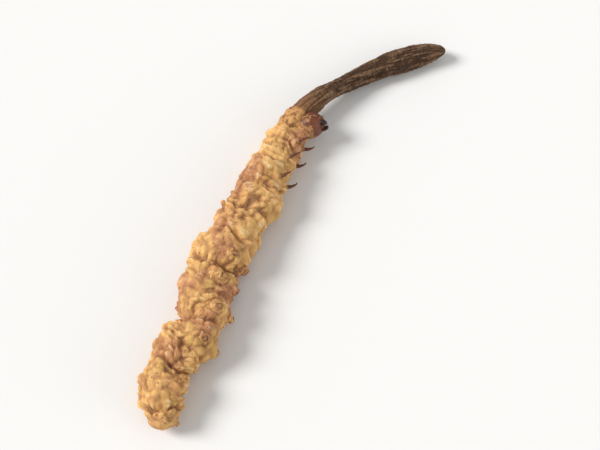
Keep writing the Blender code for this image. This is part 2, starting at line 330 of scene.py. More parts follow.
class Tree:
    """A node tree that is being written."""

    families = ("ShaderNode",)

    def __init__(self, tree):
        self.tree = tree

    def node(self, kind, *ordered, **named):
        """Adds a node, its type named without its family, and returns its first output.

        The ordered values fill its inputs from the first on. Of the named ones, small letters
        name a setting, and a capital names an input, with _ for a space.
        """
        family = next(family for family in self.families if hasattr(bpy.types, family + kind))
        node = self.tree.nodes.new(family + kind)
        for name, value in named.items():
            if name.islower():
                setattr(node, name, value)
        inputs = [socket for socket in node.inputs if socket.enabled]
        for socket, value in zip(inputs, ordered):
            self.feed(socket, value)
        for socket in inputs:
            key = socket.name.replace(" ", "_")
            if key in named:
                self.feed(socket, named[key])
        return Field(self, next(socket for socket in node.outputs if socket.enabled))

    def feed(self, socket, value):
        """Links a field to an input, or sets it. Colours are given as colour() takes them."""
        if isinstance(value, Field):
            self.tree.links.new(value.socket, socket)
        else:
            socket.default_value = colour(*value) if socket.type == "RGBA" else value

    def socket(self, name, in_out, kind):
        """Gives the tree an input or an output, its type named without its family."""
        kind = "NodeSocket" + kind
        return self.tree.interface.new_socket(name, in_out=in_out, socket_type=kind)

    def take(self, inputs):
        """Gives the tree inputs, which it then has as tree[name]. Returns (socket, value) pairs."""
        sockets = [
            self.socket(name.replace("_", " "), "INPUT", SOCKETS[type(value)])
            for name, value in inputs.items()
        ]
        self.start = self.tree.nodes.new("NodeGroupInput")
        return zip(sockets, inputs.values())

    def __getitem__(self, name):
        return Field(self, self.start.outputs[name])

    def give(self, name, kind, value):
        """Gives the tree its output."""
        self.socket(name, "OUTPUT", kind)
        self.feed(self.tree.nodes.new("NodeGroupOutput").inputs[name], value)

    def vector(self, x, y, z):
        return self.node("CombineXYZ", x, y, z)


class Recipe(Tree):
    """A Geometry Nodes tree with named inputs."""

    families = ("GeometryNode", "FunctionNode", "ShaderNode")

    def __init__(self, name, **inputs):
        super().__init__(bpy.data.node_groups.new(name, "GeometryNodeTree"))
        self.socket("Geometry", "INPUT", "Geometry")
        self.values = {socket.identifier: value for socket, value in self.take(inputs)}

    def position(self):
        return self.node("InputPosition")

    def normal(self):
        return self.node("InputNormal")

    def named(self, name, kind="FLOAT"):
        """A value that is stored on the mesh."""
        return self.node("InputNamedAttribute", name, data_type=kind)

    def store(self, geometry, **values):
        for name, value in values.items():
            geometry = self.node(
                "StoreNamedAttribute", geometry, Name=name, Value=value, data_type=kind_of(value)
            )
        return geometry

    def blur(self, vector, times):
        return self.node("BlurAttribute", vector, times, data_type=VECTOR)

    def move_to(self, geometry, position):
        return self.node("SetPosition", geometry, Position=position)

    def merge(self, geometry):
        return self.node("MergeByDistance", geometry, Distance=MERGE_DISTANCE)

    def shape(self, name):
        """The mesh of an object that the tree is given."""
        return self.node("ObjectInfo", self[name]).out("Geometry")

    def points(self):
        return self.node("MeshToPoints", self["Geometry"])

    def place_on(self, points, shape, axis, side, scale):
        """A shape on each point, with its Z along axis and its X as near to side as can be."""
        ways = {"primary_axis": "Z", "secondary_axis": "X"}
        turned = self.node("AxesToRotation", axis, side, **ways)
        placed = {"Instance": shape, "Rotation": turned, "Scale": scale}
        return self.node("InstanceOnPoints", points, **placed)

    def tube(self):
        """A closed tube round the line that the tree is given, with each point's turn stored."""
        points = self.store(self["Geometry"], middle=self.position())
        line = self.node("MeshToCurve", points)
        circle = self.node("CurvePrimitiveCircle", self["Sides"], 1.0)
        turn = self.node("InputIndex") * (2 * math.pi) / self["Sides"]
        profile = self.store(circle, turn=turn)
        inside_out = self.node("CurveToMesh", line, profile, Fill_Caps=True)
        return self.node("FlipFaces", inside_out)

    def tube_places(self):
        """(place, turn, radius, cosine, sine, all of them as one vector) at a tube's points."""
        place, turn, radius = (self.named(name) for name in ("place", "turn", "girth"))
        cosine, sine = turn.math("COSINE"), turn.math("SINE")
        spread = self.vector(place, cosine * radius, sine * radius)
        return place, turn, radius, cosine, sine, spread

    def in_metres(self, geometry, position):
        """Moves the points, presses what is below the floor flat, closes the ends, and scales."""
        parts = self.node("SeparateXYZ", position)
        height = parts.out("Z").math("MAXIMUM", ABOVE_FLOOR)
        pressed = self.move_to(geometry, self.vector(parts.out("X"), parts.out("Y"), height))
        return self.move_to(self.merge(pressed), self.position() * MM)

    def finish(self, geometry, material, *forgotten):
        """Ends the tree with real mesh, without the stored values that are no longer needed."""
        for name in forgotten:
            geometry = self.node("RemoveAttribute", geometry, name)
        smooth = self.node("SetShadeSmooth", geometry)
        real = self.node("RealizeInstances", smooth)
        painted = self.node("SetMaterial", real, Material=material)
        self.give("Geometry", "Geometry", painted)
        return self

    def run(self, name, source):
        """The tree's result on a source object, as a plain mesh object with a name."""
        modifier = source.modifiers.new(self.tree.name, "NODES")
        modifier.node_group = self.tree
        for identifier, value in self.values.items():
            modifier[identifier] = value
        evaluated = source.evaluated_get(bpy.context.evaluated_depsgraph_get())
        mesh = bpy.data.meshes.new_from_object(evaluated)
        source.modifiers.remove(modifier)
        mesh.name = name
        return new_object(name, mesh)


# ---- objects from meshes


def new_object(name, data):
    made = bpy.data.objects.new(name, data)
    bpy.context.scene.collection.objects.link(made)
    return made


def store_values(mesh, values):
    """Stores a list of numbers or vectors under each name, one for each point of a mesh."""
    for name, column in values.items():
        kind = kind_of(column[0])
        stored = mesh.attributes.new(name, kind, "POINT").data
        if kind == VECTOR:
            stored.foreach_set("vector", [part for vector in column for part in vector])
        else:
            stored.foreach_set("value", column)


def points_object(name, points, edges=(), **values):
    """A helper mesh of loose points or a line."""
    mesh = bpy.data.meshes.new(name)
    mesh.from_pydata(points, edges, [])
    store_values(mesh, values)
    return new_object(name, mesh)


def line_object(name, line, places, **values):
    """A helper: a line through the places, with its frame and other values at each point."""
    points, forward, right, up = zip(*(line.frame(place) for place in places))
    edges = [(n, n + 1) for n in range(len(places) - 1)]
    values |= {"place": places, "forward": forward, "right": right, "up": up}
    return points_object(name, points, edges, **values)


def finished_mesh(name, mesh, material, unit, marks, rows):
    """A smooth object from a bmesh, scaled by a unit, with a row of marks for each vertex."""
    for vertex in mesh.verts:
        vertex.co *= unit
    data = bpy.data.meshes.new(name)
    mesh.to_mesh(data)
    mesh.free()
    store_values(data, dict(zip(marks, zip(*rows))))
    data.materials.append(material)
    data.shade_smooth()
    return new_object(name, data)


def join_rings(mesh, rings, tips):
    """Faces between rings of vertices, and a fan to a tip from each end ring."""
    for low, high in zip(rings[:-1], rings[1:]):
        for n in range(len(low)):
            m = (n + 1) % len(low)
            mesh.faces.new((low[n], low[m], high[m], high[n]))
    for ring, tip in zip((rings[0][::-1], rings[-1]), tips):
        vertex = mesh.verts.new(tip)
        for n in range(len(ring)):
            mesh.faces.new((ring[n], ring[(n + 1) % len(ring)], vertex))


def circle_turns(sides):
    return [2 * math.pi * n / sides for n in range(sides)]


def smooth_rows(rows, steps):
    """The rows of a table, and between them steps on smooth curves: (row's place, values)."""
    keys = [tuple(enumerate(column)) for column in zip(*rows)]
    places = [n / steps for n in range((len(rows) - 1) * steps + 1)]
    return [(place, [value_at(key, place) for key in keys]) for place in places]


# ---- materials


def colour(*parts):
    """A screen's red, green and blue, each from 11 to 255, as a material's linear colour."""
    return (*(((part / 255 + 0.055) / 1.055) ** 2.4 for part in parts), 1.0)


class Paint(Tree):
    """A shader's node tree."""

    def place(self):
        return self.node("TexCoord").out("Object")

    def attribute(self, name, output="Fac"):
        return self.node("Attribute", attribute_name=name).out(output)

    def straightened(self, along, around):
        """Where a point would be if its piece were straight, in mm, stretched along and around."""
        place = self.attribute("straight", "Vector")
        return self.node("Mapping", place, Scale=(along, around, around))

    def layers(self, base, *layers):
        """A base colour under layers, each (share, colour)."""
        for share, over in layers:
            base = self.node("Mix", share, base, over, data_type="RGBA")
        return base

    def group(self, tree, **inputs):
        return self.node("Group", node_tree=tree, **inputs)


class Group(Paint):
    """A shader group with named inputs, which materials share."""

    def __init__(self, name, **inputs):
        super().__init__(bpy.data.node_groups.new(name, "ShaderNodeTree"))
        for socket, value in self.take(inputs):
            socket.default_value = value


class Material(Paint):
    """A material with a Principled BSDF."""

    def __init__(self, name):
        self.material = bpy.data.materials.new(name)
        self.material.use_nodes = True
        super().__init__(self.material.node_tree)

    def finish(self, **inputs):
        """Feeds the Principled BSDF, with _ for a space, and returns the material."""
        shader = self.tree.nodes["Principled BSDF"]
        for name, value in inputs.items():
            self.feed(shader.inputs[name.replace("_", " ")], value)
        return self.material


GREY = (0.5, 0.5, 0.5, 1.0)
NOWHERE = Vector((0, 0, 0))


def make_mottling():
    """Soft patches, fine speckles and small dark flecks over a colour, each in its own colour."""
    paint = Group(
        "dry mottling", Colour=GREY, Patch_Colour=GREY, Speckle_Colour=GREY, Fleck_Colour=GREY,
        Patch_Scale=300.0, Patches=0.5, Speckles=0.5, Flecks=0.0,
    )
    place, scale = paint.place(), paint["Patch Scale"]
    patches = place.noise(scale, 4.0, 0.6, 0.4).step(0.48, 0.66) * paint["Patches"]
    speckles = place.noise(scale * 9.0, 3.0, 0.7).step(0.54, 0.72) * paint["Speckles"]
    thick = place.noise(450.0).step(0.44, 0.58) * paint["Flecks"]
    flecks = place.cells(1900.0).step(0.26, 0.12) * thick
    mottled = paint.layers(
        paint["Colour"],
        (patches, paint["Patch Colour"]),
        (speckles, paint["Speckle Colour"]),
        (flecks, paint["Fleck Colour"]),
    )
    paint.give("Color", "Color", mottled)
    return paint.tree


def make_grain():
    """The normal of a dry surface with fine grain, pits and wrinkles.

    Place is where the surface is, in millimetres. Wrinkle Place is the same, squeezed across the
    wrinkles. Depth is in metres.
    """
    paint = Group(
        "dry grain", Place=NOWHERE, Wrinkle_Place=NOWHERE, Grain_Size=0.2, Depth=0.00003,
        Wrinkles=1.0, Pits=0.4,
    )
    fineness = 1.0 / paint["Grain Size"]
    grain = paint["Place"].noise(fineness, 5.0, 0.62)
    pits = paint["Place"].cells(fineness * 0.7).step(0.05, 0.35)
    off_wrinkles = paint["Wrinkle Place"].off_lines(fineness * 0.5, 0.6, 0.3)
    wrinkles = off_wrinkles.step(0.0, 0.22).math("POWER", 0.6)
    height = grain + pits * paint["Pits"] + wrinkles * paint["Wrinkles"]
    bump = paint.node("Bump", Strength=1.0, Distance=paint["Depth"], Height=height)
    paint.give("Normal", "Vector", bump)
    return paint.tree


MOTTLING = make_mottling()
GRAIN = make_grain()


def larva_material():
    """Golden tan skin with pinkish patches, a painted highlight on the pebble tops and painted
    shade in the creases.
    """
    paint = Material("golden dry skin")
    place, crease = paint.place(), paint.attribute("crease")
    mottled = paint.group(
        MOTTLING, Colour=(230, 180, 112), Patch_Colour=(207, 150, 91),
        Speckle_Colour=(242, 206, 150), Fleck_Colour=(112, 68, 42),
        Patch_Scale=300.0, Patches=0.7, Speckles=0.4, Flecks=0.95,
    )
    dull = (place + Vector((0.1, 0, 0))).noise(230.0).step(0.50, 0.64)
    rosy = place.noise(210.0, 2.0, 0.5, 0.3).step(0.50, 0.64)
    stains = place.noise(1100.0, 3.0, 0.6).step(0.50, 0.60) * rosy
    return paint.finish(
        Base_Color=paint.layers(
            mottled,
            (dull * 0.5, (196, 155, 84)),
            (rosy * 0.62, (192, 128, 98)),
            (stains * 0.55, (136, 82, 62)),
            # Painted highlight: paler on the pebble tops, where the crease measure is low.
            (crease.step(0.26, 0.0) * 0.5, (249, 224, 178)),
            # Painted shade: browner in the creases, and darker still in the deepest.
            (crease.step(0.26, 0.74) * 0.62, (172, 120, 80)),
            (crease.step(0.70, 1.0) * 0.6, (114, 78, 58)),
            (paint.attribute("sole"), (70, 38, 24)),
        ),
        Roughness=place.noise(900.0).step(0.35, 0.65, 0.68, 0.9),
        Specular_IOR_Level=0.3,
        Normal=paint.group(
            GRAIN, Place=paint.straightened(1.0, 1.0), Wrinkle_Place=paint.straightened(1.2, 0.8),
            Grain_Size=0.19, Depth=0.0001, Wrinkles=0.25, Pits=0.6,
        ),
    )


def club_material():
    """Dark brown with a painted highlight on the crests and painted shade, nearly black, in the
    furrows, and golden where the larva's skin covers it, with painted shade in that skin's creases.
    """
    paint = Material("dark dry club")
    crease, sleeve = paint.attribute("crease"), paint.attribute("sleeve")
    bare = paint.group(
        MOTTLING, Colour=(118, 90, 66), Patch_Colour=(88, 63, 46), Speckle_Colour=(150, 121, 95),
        Patch_Scale=420.0, Patches=0.8, Speckles=0.5,
    )
    skin = paint.group(
        MOTTLING, Colour=(204, 152, 96), Patch_Colour=(172, 114, 70),
        Speckle_Colour=(226, 184, 130), Fleck_Colour=(104, 64, 40),
        Patch_Scale=420.0, Patches=0.8, Speckles=0.4, Flecks=0.7,
    )
    return paint.finish(
        Base_Color=paint.layers(
            bare,
            # Painted highlight: paler on the crests.
            (crease.step(0.3, 0.0) * 0.4, (150, 120, 93)),
            # Painted shade: nearly black in the furrows and cracks.
            (crease.step(0.2, 0.9) * 0.8, (58, 38, 26)),
            (paint.attribute("place").step(9.0, 3.0) * 0.6, (146, 102, 66)),
            # The larva's skin at the root, with painted shade in its creases.
            (sleeve, paint.layers(skin, (crease.step(0.3, 0.9) * 0.75, (108, 68, 40)))),
        ),
        Roughness=paint.place().noise(1200.0).step(0.35, 0.65, 0.6, 0.86),
        Specular_IOR_Level=0.2,
        Normal=paint.group(
            GRAIN, Place=paint.straightened(1.0, 1.0), Wrinkle_Place=paint.straightened(0.3, 1.3),
            Grain_Size=0.16, Depth=0.00005 + sleeve * 0.00003, Wrinkles=0.7 - sleeve * 0.5,
            Pits=0.3 + sleeve * 0.4,
        ),
    )


def shell_material():
    """Hard red-brown shell with golden dust, for the head, small legs and breathing holes."""
    paint = Material("red-brown shell")
    place, dust = paint.place() * (1 / MM), paint.attribute("dust")
    mottled = paint.group(
        MOTTLING, Colour=(118, 62, 34), Patch_Colour=(84, 42, 25), Speckle_Colour=(150, 98, 62),
        Patch_Scale=800.0, Patches=0.8, Speckles=0.4,
    )
    return paint.finish(
        Base_Color=paint.layers(
            mottled,
            # Darker along the shell's own seams and the small legs' joints, and painted shade in
            # the head's grooves, rim and pits.
            (paint.attribute("crease") * 0.85, (54, 30, 19)),
            (paint.attribute("dark"), (34, 18, 12)),
            (dust, (186, 138, 88)),
        ),
        Roughness=dust.step(0.0, 1.0, 0.42, 0.85),
        Specular_IOR_Level=0.45,
        Normal=paint.group(
            GRAIN, Place=place, Wrinkle_Place=place, Grain_Size=0.24, Depth=0.000025,
            Wrinkles=0.5, Pits=0.5,
        ),
    )


LARVA_SKIN = larva_material()
CLUB_SKIN = club_material()
SHELL = shell_material()

# ---- the larva


def groove_rows():
    """The grooves round the larva from its tail tip on: (place, depth, is a segment's)."""
    grooves = [(0.0, 0.0, True)]
    for _, length, depth in SEGMENTS:
        shares = RING_SHARES if length > SHORT_SEGMENT else SHORT_RING_SHARES
        for share in shares:
            grooves.append((grooves[-1][0] + share * length, RING_GROOVE, False))
        grooves[-1] = (grooves[-1][0], depth, True)
    return grooves


def dips_at(place, grooves):
    """(dip by segment grooves, dip by ring grooves, count of rings up to here) at a place."""
    if place >= grooves[-1][0]:
        return 0.0, 0.0, len(grooves) - 1 + place - grooves[-1][0]
    n = next(n for n, groove in enumerate(grooves[1:]) if place < groove[0])
    (rear, *rear_groove), (front, *front_groove) = grooves[n : n + 2]
    share = (place - rear) / (front - rear)
    depth, seam = front_groove if share > 0.5 else rear_groove
    fall = abs(2 * share - 1) ** (SEAM_ROUNDNESS if seam else RING_ROUNDNESS)
    unevenness = RING_UNEVENNESS * math.sin(RING_UNEVENNESS_STEP * n) * (1 - fall)
    seam_dip, ring_dip = (depth * fall, 0.0) if seam else (0.0, depth * fall)
    return seam_dip, ring_dip + unevenness, n + share


def row_places(length, first, last):
    """Places along a piece: closer together where its ends are round."""
    angles = [math.pi / 2 * n / ROUND_END_STEPS for n in range(ROUND_END_STEPS + 1)]
    middle = length - first - last
    count = round(middle / ROW_STEP)
    places = [first * (1 - math.cos(angle)) for angle in angles[:-1]]
    places += [first + middle * n / count for n in range(count)]
    return places + [length - last * (1 - math.sin(angle)) for angle in angles]


# Lengthwise, in degrees from the belly line on either side.
FURROWS = (62, 100, 150)
FURROW_SHARPNESS = 60.0
PEBBLE_SOFTNESS = 0.1
SMALL_PEBBLE_SOFTNESS = 0.2
# Between these places the pebbles give way to plain rings, towards the head.
RINGED_FRONT = (29.0, 38.0)
MEAN_RADIUS = 2.9
TUBE_VALUES = ("middle", "forward", "right", "up", "girth", "turn")


def larva_recipe(stub_legs):
    """The larva's skin: lobes, rings broken into pebbles, furrows along it and fine wrinkles."""
    recipe = Recipe(
        "larva skin", Sides=LARVA_SIDES, Lobe_Size=2.3, Lobe_Height=0.28, Pebble_Size=1.05,
        Pebble_Height=0.31, Small_Pebble_Size=0.45, Small_Pebble_Height=0.07, Wrinkle_Depth=0.045,
        Furrow_Depth=0.24, Seam_Depth=1.8, Seam_Wander=1.3, Leg_Mound=0.45, Softening=6,
        Stub_Legs=stub_legs,
    )
    surface = recipe.tube()
    place, turn, radius, cosine, sine, spread = recipe.tube_places()
    forward, right, up = (recipe.named(name, VECTOR) for name in ("forward", "right", "up"))
    fade = (radius / THIN_RADIUS).math("MINIMUM", 1.0)

    seams = recipe.named("seam") * spread.noise(0.45).step(0.32, 0.62, 0.8, 1.3)
    seams = seams * recipe["Seam Depth"]
    ringed = place.step(*RINGED_FRONT)
    broken = (spread + Vector((7, 0, 0))).noise(0.5).step(0.38, 0.58, 0.1, 1.2)
    rings = recipe.named("ring") * broken * (1.0 + ringed * 0.9)

    furrows = 0.0
    wobble = (recipe.vector(place, 0.0, 0.0).noise(0.35) - 0.5) * 0.5
    for degrees in FURROWS:
        for side in (1, -1):
            centre = math.radians(BELLY_TURN + side * degrees)
            near = (turn + wobble - centre).math("COSINE").math("MAXIMUM", 0.0)
            furrows = near.math("POWER", FURROW_SHARPNESS) + furrows
    furrows = furrows * spread.noise(0.7, 1.0).step(0.40, 0.62)

    drift = spread.drift(0.8)
    warped = spread + drift * 0.5
    lobes = (warped + Vector((0, 20, 0))).domes(recipe["Lobe Size"], 0.6)
    size = recipe["Pebble Size"]
    from_top = (turn - math.pi / 2).math("WRAP", math.pi, -math.pi) * MEAN_RADIUS
    row_drift = drift.math("DOT_PRODUCT", Vector((0.9, 0.0, 0.0)))
    side_drift = drift.math("DOT_PRODUCT", Vector((0.0, 0.7, 0.7)))
    in_rows = recipe.vector(recipe.named("row") + row_drift, (from_top + side_drift) / size, 0.0)
    wide = radius.step(1.5, 2.1)
    pebbles = in_rows.domes(1.0, PEBBLE_SOFTNESS, 0.8, "2D", 2.4) * wide
    pebbles = pebbles + warped.domes(size, PEBBLE_SOFTNESS) * (1.0 - wide)
    small_pebbles = warped.domes(recipe["Small Pebble Size"], SMALL_PEBBLE_SOFTNESS)
    around = recipe.vector(place * 2.4, cosine * radius * 0.7, sine * radius * 0.7)
    wrinkles = around.off_lines(0.8, 0.5, 0.3).step(0.12, 0.0)

    flesh = place.waves(FLESH_WAVES, turn) + (lobes - 0.5) * recipe["Lobe Height"]
    height = radius + fade * (flesh - seams - rings - furrows * recipe["Furrow Depth"])
    outward = right * cosine + up * (sine * FLATTENING)
    wander = ((spread + Vector((0, 0, 30))).noise(0.30, 1.0) - 0.5) * recipe["Seam Wander"]
    stray = place.waves(RING_WAVES, turn) + wander
    skin = recipe.named("middle", VECTOR) + outward * height + forward * (fade * stray)

    legs = recipe.shape("Stub Legs")
    nearest = recipe.node("SampleNearest", legs, skin)

    def of_leg(value):
        kind = kind_of(value)
        return recipe.node("SampleIndex", legs, value, nearest, data_type=kind)

    axis = of_leg(recipe.named("axis", VECTOR))
    from_root = skin - of_leg(recipe.position())
    beside = from_root - axis * from_root.math("DOT_PRODUCT", axis)
    aside = beside.math("LENGTH") / of_leg(recipe.named("root"))
    mound = aside.step(1.75, 0.75) * from_root.math("LENGTH").step(2.4, 1.8)
    ditch = aside.step(1.3, 0.95) * mound
    skin = skin + axis * ((mound - ditch * 0.5) * recipe["Leg Mound"])
    surface = recipe.merge(recipe.move_to(surface, skin))
    position = recipe.position()
    surface = recipe.move_to(surface, recipe.blur(position, recipe["Softening"]))

    above_floor = recipe.node("SeparateXYZ", position).out("Z")
    calm = spread.noise(0.30, 1.0).step(0.35, 0.62, 0.65, 1.15)
    calm = calm * seams.step(0.7, 0.1, 0.4, 1.0) * (1.0 - ringed * 0.45)
    relief = (pebbles - 0.5) * calm * recipe["Pebble Height"]
    relief = relief + (small_pebbles - 0.5) * recipe["Small Pebble Height"]
    relief = (relief - wrinkles * recipe["Wrinkle Depth"]) * fade
    relief = relief * above_floor.step(0.1, 1.2, 0.4, 1.0)
    # How deep in a seam, ring, furrow or gap between pebbles each point lies. The skin's material
    # paints shade with it in the creases and a highlight on the pebble tops.
    gaps = (1.0 - pebbles) * calm * 0.5 + (1.0 - small_pebbles) * 0.15 + (1.0 - lobes) * 0.25
    crease = gaps + wrinkles * 0.2 + furrows * 0.3 + seams * 0.9 + rings * 0.7 + ditch * 0.3 - 0.08
    crease = crease.math("MAXIMUM", 0.0).math("MINIMUM", 1.0)
    surface = recipe.store(surface, crease=crease, straight=spread)
    surface = recipe.in_metres(surface, position + recipe.normal() * relief)
    return recipe.finish(surface, LARVA_SKIN, *TUBE_VALUES, "seam", "ring", "row")


def leg_root(name, degrees, ahead):
    """(root, axis, forward) of a leg on a segment, which leans ahead by a share."""
    point, forward, right, up = LARVA_LINE.frame(MIDDLES[name])
    turn = math.radians(BELLY_TURN + degrees)
    outward = math.cos(turn) * right + FLATTENING * math.sin(turn) * up
    axis = (outward.normalized() + ahead * forward).normalized()
    return point + outward * larva_radius(MIDDLES[name]), axis, forward


def stub_leg_points():
    """A helper: where the stub legs stand, which way they point and how large they are."""
    pairs = [(name, shape, side) for name, shape in STUB_LEGS.items() for side in (1, -1)]
    roots = [
        leg_root(name, side * shape["spread"], -shape["backwards"]) for name, shape, side in pairs
    ]
    points, axes, forwards = zip(*roots)
    sizes = {key: [shape[key] for _, shape, _ in pairs] for key in ("length", "foot", "root")}
    return points_object("stub_legs", points, axis=axes, ahead=forwards, **sizes)


def make_larva(stub_legs):
    grooves = groove_rows()
    places = row_places(*LARVA_ENDS)
    girths = [larva_radius(place) for place in places]
    seams, dips, rows = zip(*(dips_at(place, grooves) for place in places))
    values = {"girth": girths, "seam": seams, "ring": dips, "row": rows}
    line = line_object("larva_line", LARVA_LINE, places, **values)
    return larva_recipe(stub_legs).run("dried_larva", line)


# ---- the stub legs

# Up a stub leg from its root: height in shares of its length, radius in shares of its foot's.
STUB_OUTLINE = (
    (-0.90, 2.00), (-0.40, 1.92), (0.00, 1.76), (0.22, 1.50), (0.38, 1.24), (0.46, 1.08),
    (0.56, 1.08), (0.70, 1.04), (0.83, 0.92), (0.93, 0.76), (0.99, 0.64), (1.015, 0.54),
    (1.01, 0.44), (1.015, 0.32), (1.03, 0.18), (1.035, 0.06),
)
STUB_SIDES = 64
STUB_STEPS = 3
STUB_WIDTH = 0.80
STUB_BREADTH = 0.95
STUB_HEIGHT = 0.9
HOOK_ROWS = (8.6, 11.6)
HOOKS = 24
HOOK_HEIGHT = 0.03


def make_stub_shape():
    """A helper: one stub leg, a foot's radius wide and 1 high, with tiny hooks round its sole."""
    mesh = bmesh.new()
    first_hook, last_hook = HOOK_ROWS
    rows, rings = [], []
    for step, (height, radius) in smooth_rows(STUB_OUTLINE, STUB_STEPS):
        hooked = ramp(step, first_hook, first_hook + 1) * ramp(step, last_hook, last_hook - 1)
        # Bands of crease round the leg, where the skin's material paints shade.
        crease = max(bell(step - 5, 0.8), bell(step - 2.2, 0.9) * 0.8, ramp(step, 6, 9))
        ring = []
        for turn in circle_turns(STUB_SIDES):
            tooth = math.cos(HOOKS * turn)
            level = height + HOOK_HEIGHT * hooked * tooth
            ring.append(mesh.verts.new((radius * math.cos(turn), radius * math.sin(turn), level)))
            rows.append((crease, hooked * (0.75 + 0.25 * tooth)))
        rings.append(ring)
    ends = (rings[0], rings[-1])
    tips = [sum((vertex.co for vertex in ring), Vector()) / STUB_SIDES for ring in ends]
    join_rings(mesh, rings, tips)
    rows += [(0.5, 0.0), (0.5, 0.0)]
    return finished_mesh("stub_shape", mesh, LARVA_SKIN, 1.0, ("crease", "sole"), rows)


def stub_leg_recipe(shape):
    """The stub legs, each on its point, and each crumpled in its own way."""
    recipe = Recipe(
        "stub legs", Shape=shape, Pebble_Size=0.48, Pebble_Height=0.17, Unevenness=0.26
    )
    axis, ahead = recipe.named("axis", VECTOR), recipe.named("ahead", VECTOR)
    foot, length = recipe.named("foot"), recipe.named("length")
    size = recipe.vector(foot * STUB_WIDTH, foot * STUB_BREADTH, length * STUB_HEIGHT)
    legs = recipe.place_on(recipe.points(), recipe.shape("Shape"), axis, ahead, size)
    legs = recipe.node("RealizeInstances", legs)
    position = recipe.position()
    pebbles = position.domes(recipe["Pebble Size"], 0.4)
    # Crease, for the painted shade in the creases and the painted highlight on the pebble tops.
    crease = (recipe.named("crease") * 0.6 + (1.0 - pebbles) * 0.5).math("MINIMUM", 1.0)
    worn = position.noise(1.3, 1.0).step(0.38, 0.55)
    legs = recipe.store(legs, crease=crease, sole=recipe.named("sole") * worn, straight=position)
    bent = position + position.drift(0.9) * recipe["Unevenness"] * 2.0
    raised = recipe.normal() * ((pebbles - 0.6) * recipe["Pebble Height"])
    legs = recipe.in_metres(legs, bent + raised)
    return recipe.finish(legs, LARVA_SKIN, "axis", "ahead", "foot", "length", "root")


# ---- the club

# Where the part with grains begins and where it ends.
FERTILE_START = (8.0, 11.5)
FERTILE_END = (24.2, 22.6)
SLEEVE_EDGE = 0.5


def club_recipe():
    """The club's skin: furrows, cracks and grains, and the larva's pebbled skin at its root."""
    recipe = Recipe(
        "club skin", Sides=CLUB_SIDES, Ridge_Height=0.17, Grain_Size=0.30, Grain_Height=0.06,
        Lump_Height=0.22, Crack_Depth=0.06, Twist=0.05, Sleeve_End=3.4, Sleeve_Height=0.16,
        Sleeve_Raggedness=3.0, Sleeve_Crack_Depth=0.05, Pebble_Size=0.80, Pebble_Height=0.24,
        Small_Pebble_Size=0.36, Small_Pebble_Height=0.08,
    )
    surface = recipe.tube()
    place, turn, radius, cosine, sine, spread = recipe.tube_places()
    right, up = recipe.named("right", VECTOR), recipe.named("up", VECTOR)
    fade = radius.math("MINIMUM", 1.0)

    twisted = turn + place * recipe["Twist"]
    around_x, around_y = twisted.math("COSINE"), twisted.math("SINE")
    drawn_out = recipe.vector(place * 0.16, around_x * 2.0, around_y * 2.0)
    furrows = (drawn_out.off_lines(1.15, 0.5, 0.2) * 2.0).step(0.20, 0.0)
    across = recipe.vector(place * 1.6, around_x, around_y)
    cracks = across.off_lines(0.9, 0.6, 0.4).step(0.05, 0.0)
    grains = spread.domes(recipe["Grain Size"], 0.2)
    fertile = place.step(*FERTILE_START) * place.step(*FERTILE_END)
    lumps = spread.noise(0.9) - 0.5

    end = recipe["Sleeve End"]
    ragged = place + (spread.noise(0.8) - 0.5) * recipe["Sleeve Raggedness"]
    sleeve = ragged.step(end + SLEEVE_EDGE, end - SLEEVE_EDGE)
    drifted = spread + spread.drift(0.9) * 1.1
    pebbles = drifted.domes(recipe["Pebble Size"], PEBBLE_SOFTNESS)
    small_pebbles = drifted.domes(recipe["Small Pebble Size"], SMALL_PEBBLE_SOFTNESS)

    bare = grains * fertile * recipe["Grain Height"] + lumps * recipe["Lump Height"]
    bare = bare - cracks * recipe["Crack Depth"] - furrows * recipe["Ridge Height"]
    grown = recipe["Sleeve Height"] + (pebbles - 0.5) * recipe["Pebble Height"]
    grown = grown + (small_pebbles - 0.5) * recipe["Small Pebble Height"]
    grown = grown - cracks * recipe["Sleeve Crack Depth"]
    relief = place.waves(CLUB_WAVES, turn) + bare * (1.0 - sleeve) + grown * sleeve
    outward = right * cosine + up * sine
    skin = recipe.named("middle", VECTOR) + outward * (radius + fade * relief)
    # How deep in a furrow, crack or crease each point lies, for the material's painted shade and
    # painted highlight.
    bare_crease = furrows * 0.8 + cracks * 0.5 + (1.0 - grains) * fertile * 0.4
    sleeve_crease = (1.0 - pebbles) * 0.8 + (1.0 - small_pebbles) * 0.2 + cracks * 0.2
    crease = (bare_crease * (1.0 - sleeve) + sleeve_crease * sleeve).math("MINIMUM", 1.0)
    surface = recipe.store(surface, crease=crease, sleeve=sleeve, straight=spread)
    surface = recipe.in_metres(surface, skin)
    return recipe.finish(surface, CLUB_SKIN, *TUBE_VALUES)


def make_club():
    places = row_places(*CLUB_ENDS)
    girths = [value_at(CLUB_RADII, place) * round_ends(place, *CLUB_ENDS) for place in places]
    line = line_object("club_line", CLUB_LINE, places, girth=girths)
    return club_recipe().run("dried_club", line)


# ---- the head

# In degrees: how far up the seam forks, and for each eye how far aside and up it is.
SEAM_FORK = 48
EYES = ((50, 6), (59, 9), (67, 4), (70, -6), (62, -14), (51, -12))
PIT_DEPTH = 0.012
SHELL_MARKS = ("crease", "dark", "dust")


def head_axes():
    """(middle, ahead, aside, down) of the head, in millimetres."""
    point, forward, _, _ = LARVA_LINE.frame(LARVA_LENGTH)
    belly = LARVA_LINE.outward(LARVA_LENGTH, 0)
    bow = math.radians(HEAD_BOW)
    ahead = math.cos(bow) * forward + math.sin(bow) * belly
    aside = belly.cross(ahead).normalized()
    middle = point + forward * HEAD_AHEAD + belly * HEAD_TO_BELLY
    return middle, ahead, aside, ahead.cross(aside)


